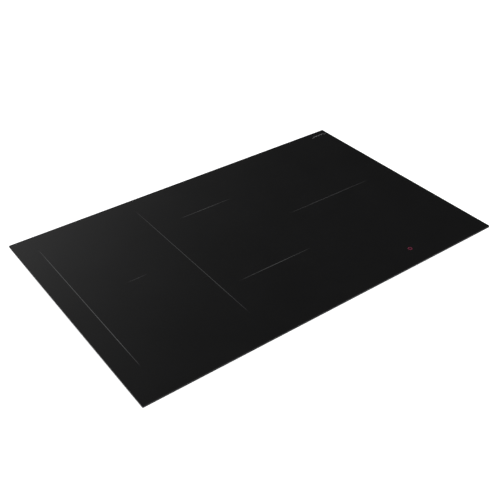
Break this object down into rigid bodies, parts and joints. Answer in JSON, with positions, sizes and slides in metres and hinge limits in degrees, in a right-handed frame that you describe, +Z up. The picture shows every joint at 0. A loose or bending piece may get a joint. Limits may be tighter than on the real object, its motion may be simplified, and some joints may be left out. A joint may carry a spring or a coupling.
{
  "type": "induction cooktop",
  "caption": "Built-in induction cooktop: frameless black glass top over a shallow sheet-steel tray with coils, fans, power boards and swivelling worktop clamps.",
  "frame": {"origin": "middle of the underside of the tray, on the surface it stands on", "axes": "+X to the right and +Y to the rear as the cook sees it, +Z up through the glass"},
  "size_m": [0.8, 0.51, 0.05],
  "materials": {
    "black_glass": "satin black glass-ceramic",
    "grey_print": "fired enamel print",
    "red_print": "fired enamel print",
    "foam_tape": "closed-cell foam",
    "rail_aluminium": "mill finish",
    "zinc_steel": "zinc-coated sheet with faint spangle",
    "screw_steel": "bright zinc plating",
    "plate_aluminium": "matt, blank",
    "clamp_steel": "zinc-plated strip",
    "deck_aluminium": "mill finish",
    "litz": "enamelled stranded copper",
    "former_plastic": "moulded heat-proof plastic",
    "ferrite": "pressed ferrite",
    "fibre_mat": "ceramic-fibre mat",
    "sensor_silicone": "silicone cap",
    "spring_steel": "drawn wire",
    "circuit_board": "green solder mask",
    "heatsink_aluminium": "extruded",
    "component_black": "moulded epoxy",
    "capacitor_case": "moulded case",
    "choke_wire": "enamelled copper",
    "fan_plastic": "moulded",
    "terminal_plastic": "moulded, fine grain",
    "terminal_ceramic": "unglazed",
    "grommet_rubber": "soft rubber",
    "touch_plastic": "moulded"
  },
  "bodies": {
    "hob": {"glass_top": "black_glass", "zone_markings": "grey_print", "power_symbol": "red_print", "corner_mark": "grey_print", "seal_front": "foam_tape", "seal_rear": "foam_tape", "seal_left": "foam_tape", "seal_right": "foam_tape", "rail_front": "rail_aluminium", "rail_rear": "rail_aluminium", "rail_left": "rail_aluminium", "rail_right": "rail_aluminium", "bottom_tray": "zinc_steel", "tray_screws": "screw_steel", "rating_plate": "plate_aluminium", "clamp_screws": "screw_steel", "left_springs": "spring_steel", "middle_springs": "spring_steel", "right_springs": "spring_steel", "left_power_board": "circuit_board", "right_power_board": "circuit_board", "left_heatsink": "heatsink_aluminium", "right_heatsink": "heatsink_aluminium", "power_transistors": "component_black", "capacitors": "capacitor_case", "chokes": "choke_wire", "left_fan_housing": "fan_plastic", "right_fan_housing": "fan_plastic", "filter_board": "circuit_board", "terminal_box": "terminal_plastic", "terminal_block": "terminal_ceramic", "cable_grommet": "grommet_rubber", "touch_board": "circuit_board", "touch_carrier": "touch_plastic", "light_guides": "touch_plastic"},
    "clamp_front_left": {"clamp_front_left": "clamp_steel"},
    "clamp_front_right": {"clamp_front_right": "clamp_steel"},
    "clamp_rear_left": {"clamp_rear_left": "clamp_steel"},
    "clamp_rear_right": {"clamp_rear_right": "clamp_steel"},
    "left_fan": {"left_fan_rotor": "fan_plastic"},
    "right_fan": {"right_fan_rotor": "fan_plastic"},
    "terminal_cover": {"terminal_cover": "terminal_plastic"},
    "left_coil_deck": {"left_deck": "deck_aluminium", "left_windings": "litz", "left_formers": "former_plastic", "left_ferrites": "ferrite", "left_mats": "fibre_mat", "left_sensors": "sensor_silicone"},
    "middle_coil_deck": {"middle_deck": "deck_aluminium", "middle_windings": "litz", "middle_formers": "former_plastic", "middle_ferrites": "ferrite", "middle_mats": "fibre_mat", "middle_sensors": "sensor_silicone"},
    "right_coil_deck": {"right_deck": "deck_aluminium", "right_windings": "litz", "right_formers": "former_plastic", "right_ferrites": "ferrite", "right_mats": "fibre_mat", "right_sensors": "sensor_silicone"}
  },
  "joints": [
    {"name": "clamp_front_left_swivel", "type": "hinge", "parent": "hob", "child": "clamp_front_left", "pos_m": [-0.364, -0.158, 0.004], "axis": [0, 0, 1], "range_deg": [0, 90]},
    {"name": "clamp_front_right_swivel", "type": "hinge", "parent": "hob", "child": "clamp_front_right", "pos_m": [0.364, -0.158, 0.004], "axis": [0, 0, -1], "range_deg": [0, 90]},
    {"name": "clamp_rear_left_swivel", "type": "hinge", "parent": "hob", "child": "clamp_rear_left", "pos_m": [-0.364, 0.158, 0.004], "axis": [0, 0, -1], "range_deg": [0, 90]},
    {"name": "clamp_rear_right_swivel", "type": "hinge", "parent": "hob", "child": "clamp_rear_right", "pos_m": [0.364, 0.158, 0.004], "axis": [0, 0, 1], "range_deg": [0, 90]},
    {"name": "left_fan_spin", "type": "hinge", "parent": "hob", "child": "left_fan", "pos_m": [-0.31375, 0.1385, 0.012], "axis": [0, 0, 1], "continuous": true},
    {"name": "right_fan_spin", "type": "hinge", "parent": "hob", "child": "right_fan", "pos_m": [0.15425, 0.1425, 0.012], "axis": [0, 0, 1], "continuous": true},
    {"name": "terminal_cover_hinge", "type": "hinge", "parent": "hob", "child": "terminal_cover", "pos_m": [-0.297, 0.24245, 0.007], "axis": [-1, 0, 0], "range_deg": [0, 90]},
    {"name": "left_deck_float", "type": "slide", "parent": "hob", "child": "left_coil_deck", "axis": [0, 0, 1], "range_m": [-0.003, 0], "stiffness_N_per_m": 8000, "springref_m": 0.005, "deforming": ["left_springs"]},
    {"name": "middle_deck_float", "type": "slide", "parent": "hob", "child": "middle_coil_deck", "axis": [0, 0, 1], "range_m": [-0.003, 0], "stiffness_N_per_m": 8000, "springref_m": 0.005, "deforming": ["middle_springs"]},
    {"name": "right_deck_float", "type": "slide", "parent": "hob", "child": "right_coil_deck", "axis": [0, 0, 1], "range_m": [-0.003, 0], "stiffness_N_per_m": 8000, "springref_m": 0.005, "deforming": ["right_springs"]}
  ]
}
